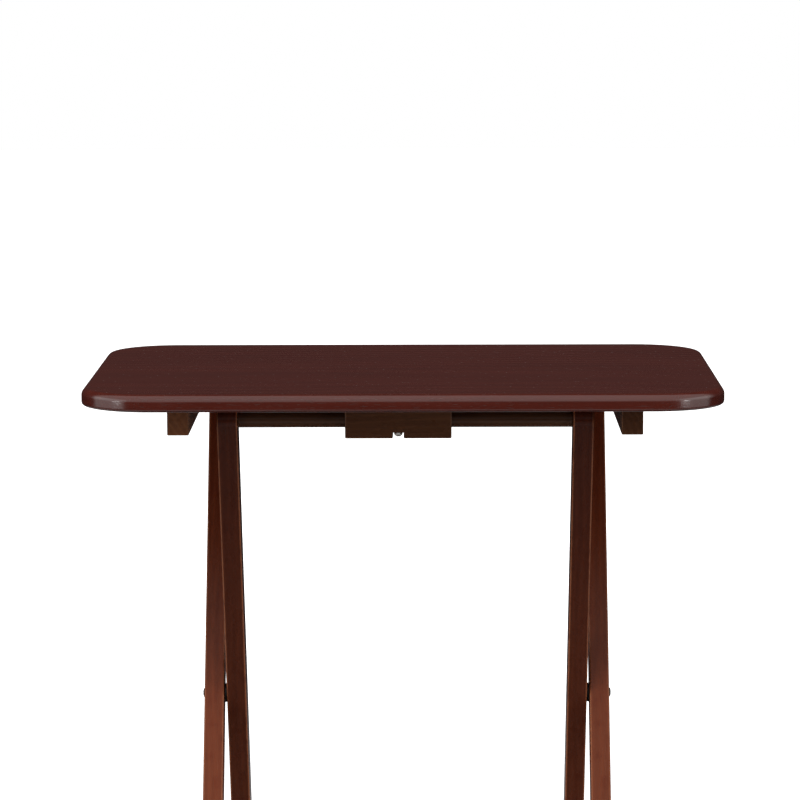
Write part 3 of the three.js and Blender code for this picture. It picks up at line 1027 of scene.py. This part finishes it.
studio = {
    "floor": 14.0,  # half its width
    "floorDrop": 0.2 * mm,
    "floorColour": (0.82, 0.82, 0.82),
    "bounceNear": (0.95, 0.95, 0.95),  # what the table gets back from the floor
    "bounceFar": (0.04, 0.04, 0.04),
    "bounceMirrored": (0.42, 0.42, 0.42),
    "bounceAhead": (0.0, 0.25, 0.0),
    "bounceReach": (0.25, 0.8),
    "bandNear": (0.3, 0.5),
    "bandFar": (2.0, 1.2),
    "floorLift": (0.42, 1.2),  # glow beside the table and far from it
    "liftReach": (0.7, 2.5),
    "skyLow": 0.03,
    "skyHigh": 0.6,
    "skyMirrored": 0.76,
    "skyFront": (0.42, 0.3),
    "skyBottom": -0.02,
    "skyTop": (0.6, 0.2),  # as a light, and mirrored
    "aim": (0, 0, 0.5),
    "lights": {
        # width and height, power, where it hangs, whether it shows in reflections
        "key": ((1.1, 0.9), 50, (-0.5, -1.9, 3.0), False),
        "overhead": ((1.6, 1.2), 5, (0.0, 0.3, 3.2), False),
        "leftStrip": ((0.6, 0.06), 4.5, (-2.65, -1.8, 0.61), True),
        "rightStrip": ((0.6, 0.06), 4.5, (2.5, -2.0, 0.61), True),
        "leftCard": ((2.8, 1.8), 14, (-2.5, -0.8, 1.0), True),
        "rightCard": ((2.6, 1.8), 13, (2.5, -0.9, 1.0), True),
        "rearFill": ((2.4, 1.6), 45, (0.4, 3.2, 2.0), False),
    },
}


def makeFloor(values):
    half = values["floor"]
    shape = bmesh.new()
    corners = [(-half, -half), (half, -half), (half, half), (-half, half)]
    shape.faces.new([shape.verts.new((x, y, -values["floorDrop"])) for x, y in corners])
    floor = bpy.data.objects.new("studioFloor", meshOf(shape, "studioFloor"))
    scene.collection.objects.link(floor)
    material = bpy.data.materials.new("paleFloor")
    material.use_nodes = True
    tree = material.node_tree
    tree.nodes.clear()
    path = addNode(tree, "ShaderNodeLightPath").outputs
    seen = path["Is Camera Ray"]
    spot = addNode(tree, "ShaderNodeTexCoord").outputs["Object"]
    ahead = vectorMaths(tree, "ADD", spot, values["bounceAhead"])
    apart = vectorMaths(tree, "LENGTH", ahead, output="Value")
    outward = spread(tree, apart, *values["bounceReach"])
    bounce = mixColour(tree, outward, values["bounceNear"], values["bounceFar"])
    # mirrored in the finish, the floor is bright only in a band ahead of the table
    near = spread(tree, apart, *values["bandNear"])
    band = maths(tree, "MULTIPLY", near, spread(tree, apart, *values["bandFar"]))
    mirrored = mixColour(tree, band, values["bounceFar"], values["bounceMirrored"])
    bounce = mixColour(tree, path["Is Glossy Ray"], bounce, mirrored)
    paint = addNode(tree, "ShaderNodeBsdfDiffuse")
    feed(tree, paint.inputs["Color"], mixColour(tree, seen, bounce, values["floorColour"]))
    glow = addNode(tree, "ShaderNodeEmission")
    far = vectorMaths(tree, "LENGTH", spot, output="Value")
    lift = spread(tree, far, *values["liftReach"], *values["floorLift"])
    feed(tree, glow.inputs["Strength"], maths(tree, "MULTIPLY", lift, seen))
    both = addNode(tree, "ShaderNodeAddShader")
    feed(tree, both.inputs[0], paint.outputs[0])
    feed(tree, both.inputs[1], glow.outputs[0])
    # open from below, so that the underside of the table can be seen
    clear = addNode(tree, "ShaderNodeBsdfTransparent")
    choose = addNode(tree, "ShaderNodeMixShader")
    feed(tree, choose.inputs[0], addNode(tree, "ShaderNodeNewGeometry").outputs["Backfacing"])
    feed(tree, choose.inputs[1], both.outputs[0])
    feed(tree, choose.inputs[2], clear.outputs[0])
    feed(tree, addNode(tree, "ShaderNodeOutputMaterial").inputs["Surface"], choose.outputs[0])
    floor.data.materials.append(material)


def makeLights(values):
    for name, (size, power, spot, shines) in values["lights"].items():
        data = bpy.data.lights.new(name, "AREA")
        data.shape = "RECTANGLE"
        data.size, data.size_y = size
        data.energy = power
        light = bpy.data.objects.new(name, data)
        light.visible_glossy = shines
        light.visible_camera = False
        scene.collection.objects.link(light)
        aim = Vector(values["aim"]) - Vector(spot)
        light.matrix_world = Matrix.Translation(spot) @ aim.to_track_quat("-Z", "Y").to_matrix().to_4x4()


def makeSky(values):
    world = bpy.data.worlds.new("studioSky")
    world.use_nodes = True
    scene.world = world
    tree = world.node_tree
    tree.nodes.clear()
    white = addNode(tree, "ShaderNodeBackground")
    soft = addNode(tree, "ShaderNodeBackground")
    toward = addNode(tree, "ShaderNodeTexCoord").outputs["Generated"]
    axes = addNode(tree, "ShaderNodeSeparateXYZ")
    feed(tree, axes.inputs[0], toward)
    # a broad soft light from overhead down to the front, lower and brighter where it is mirrored
    path = addNode(tree, "ShaderNodeLightPath").outputs
    mirrored = path["Is Glossy Ray"]
    front = spread(tree, axes.outputs["Y"], *values["skyFront"])
    top = spread(tree, mirrored, 0, 1, *values["skyTop"])
    above = spread(tree, axes.outputs["Z"], values["skyBottom"], top)
    both = maths(tree, "MULTIPLY", front, above)
    high = spread(tree, mirrored, 0, 1, values["skyHigh"], values["skyMirrored"])
    feed(tree, soft.inputs["Strength"], spread(tree, both, 0.0, 1.0, values["skyLow"], high))
    feed(tree, soft.inputs["Color"], (1.0, 1.0, 1.0))
    feed(tree, white.inputs["Color"], (1.0, 1.0, 1.0))
    choose = addNode(tree, "ShaderNodeMixShader")
    feed(tree, choose.inputs[0], path["Is Camera Ray"])
    feed(tree, choose.inputs[1], soft.outputs[0])
    feed(tree, choose.inputs[2], white.outputs[0])
    feed(tree, addNode(tree, "ShaderNodeOutputWorld").inputs["Surface"], choose.outputs[0])


makeFloor(studio)
makeLights(studio)
makeSky(studio)
scene.view_settings.view_transform = "Standard"
print("studio ready")

print("pieces:", len(boards))
